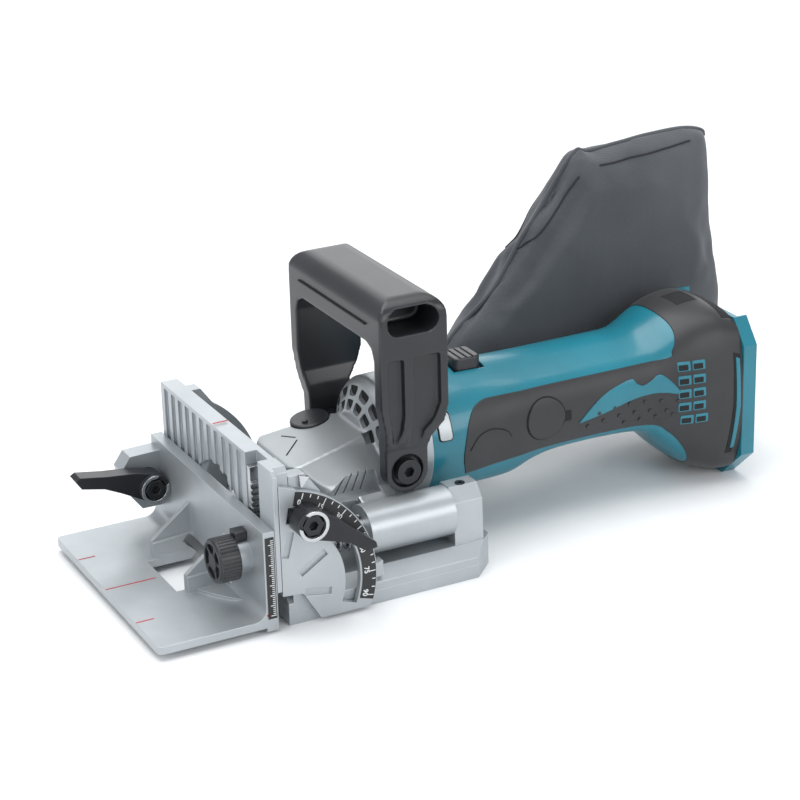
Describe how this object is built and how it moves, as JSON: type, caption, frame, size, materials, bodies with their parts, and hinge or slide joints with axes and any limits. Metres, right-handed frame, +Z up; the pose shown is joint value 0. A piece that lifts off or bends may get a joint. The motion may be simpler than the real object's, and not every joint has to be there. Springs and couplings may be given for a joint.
{
  "type": "biscuit joiner",
  "caption": "Cordless biscuit joiner with sprung plunge carriage, tilting fence, height-adjustable angle guide, D-handle and dust bag.",
  "frame": {"origin": "on the base's underside in the tool's median plane, 59 mm behind the upright fence's face and 4 mm ahead of the blade spindle's axis", "axes": "-Y points forward to the fence, +X towards the height knob side, +Z up from the base"},
  "size_m": [0.1721, 0.3932, 0.171],
  "materials": {
    "alu": "cast, bead-blasted",
    "steel": "ground",
    "blackened": "black oxide",
    "teal": "satin moulded",
    "black_plastic": "fine texture",
    "rubber": "soft touch",
    "fabric": "woven nylon",
    "scale": "printed scale",
    "carbide": "saw steel with carbide tips",
    "copper": "copper",
    "iron": "laminated core",
    "carbon": "carbon"
  },
  "bodies": {
    "base": {"base_casting": "alu", "blade_cover": "alu", "cover_screws": "blackened", "guide_rods": "steel", "rod_set_screws": "blackened", "return_springs": "steel", "tilt_bolts": "blackened", "index_pointer": "steel", "dust_nozzle": "black_plastic", "bag_collar": "black_plastic", "dust_bag": "fabric"},
    "carriage": {"gear_housing": "alu", "bearing_retainer": "alu", "spindle_bearings": "steel", "armature_bearings": "steel", "motor_ring": "alu", "depth_stop_screw": "steel", "housing_left": "teal", "housing_right": "teal", "grip_left": "rubber", "grip_right": "rubber", "battery_mount": "black_plastic", "mount_edge": "teal", "terminal_block": "black_plastic", "stator": "iron", "brush_set": "carbon", "brush_caps": "black_plastic", "switch_body": "black_plastic", "side_plugs": "alu", "d_handle": "black_plastic", "handle_bolts": "blackened", "slide_sleeves": "alu"},
    "fence": {"fence_plate": "alu", "angle_sector": "alu", "far_sector": "alu", "angle_scale": "scale", "rack": "steel", "sector_screws": "blackened"},
    "guide": {"angle_guide": "alu", "height_scale": "scale", "knob_stop": "black_plastic", "clamp_stud": "blackened"},
    "knob": {"height_knob": "black_plastic", "pinion_shaft": "steel"},
    "height_lever": {"height_lock_lever": "blackened", "height_lever_ring": "steel"},
    "angle_lever": {"angle_lock_lever": "blackened", "angle_lever_ring": "steel"},
    "blade_spindle": {"spindle": "steel", "drive_gear": "steel", "blade": "carbide", "lock_nut": "steel", "blade_flange": "steel"},
    "motor_armature": {"armature": "iron", "commutator": "copper", "fan": "black_plastic", "drive_pinion": "steel"},
    "lock_button": {"shaft_lock_button": "black_plastic"},
    "slide_switch": {"switch_knob": "black_plastic"},
    "stop_turret": {"depth_turret": "black_plastic"}
  },
  "joints": [
    {"name": "plunge", "type": "slide", "parent": "base", "child": "carriage", "axis": [0, -1, 0], "range_m": [0, 0.02], "stiffness_N_per_m": 900, "springref_m": -0.012, "deforming": ["return_springs"]},
    {"name": "fence_tilt", "type": "hinge", "parent": "base", "child": "fence", "pos_m": [0, -0.059, 0.02], "axis": [1, 0, 0], "range_deg": [0, 45]},
    {"name": "guide_lift", "type": "slide", "parent": "fence", "child": "guide", "axis": [0, 0, 1], "range_m": [0, 0.025]},
    {"name": "height_knob_turn", "type": "hinge", "parent": "guide", "child": "knob", "pos_m": [0.047, -0.07, 0.033], "axis": [0, -1, 0], "range_deg": [0, 360]},
    {"name": "height_lock_turn", "type": "hinge", "parent": "guide", "child": "height_lever", "pos_m": [-0.052, -0.073, 0.032], "axis": [1, 0, 0], "range_deg": [-76, 0]},
    {"name": "angle_lock_turn", "type": "hinge", "parent": "base", "child": "angle_lever", "pos_m": [0.075, -0.04452, 0.05621], "axis": [1, 0, 0], "range_deg": [0, 75]},
    {"name": "armature_spin", "type": "hinge", "parent": "carriage", "child": "motor_armature", "pos_m": [0, 0.076, 0.054], "axis": [0, 1, 0], "continuous": true},
    {"name": "spindle_spin", "type": "hinge", "parent": "carriage", "child": "blade_spindle", "pos_m": [0, 0.004, 0.03], "axis": [0, 0, 1], "continuous": true},
    {"name": "shaft_lock_press", "type": "slide", "parent": "carriage", "child": "lock_button", "axis": [0, 0, -1], "range_m": [0, 0.003], "stiffness_N_per_m": 800, "springref_m": -0.002},
    {"name": "switch_slide", "type": "slide", "parent": "carriage", "child": "slide_switch", "axis": [0, -1, 0], "range_m": [0, 0.006]},
    {"name": "stop_turret_turn", "type": "hinge", "parent": "base", "child": "stop_turret", "pos_m": [-0.03, 0.032, 0.024], "axis": [0, 1, 0], "range_deg": [0, 300]}
  ],
  "couplings": [
    {"joint": "height_knob_turn", "follows": "guide_lift", "rad_per_m": 250},
    {"joint": "spindle_spin", "follows": "armature_spin", "ratio": 0.33333}
  ]
}
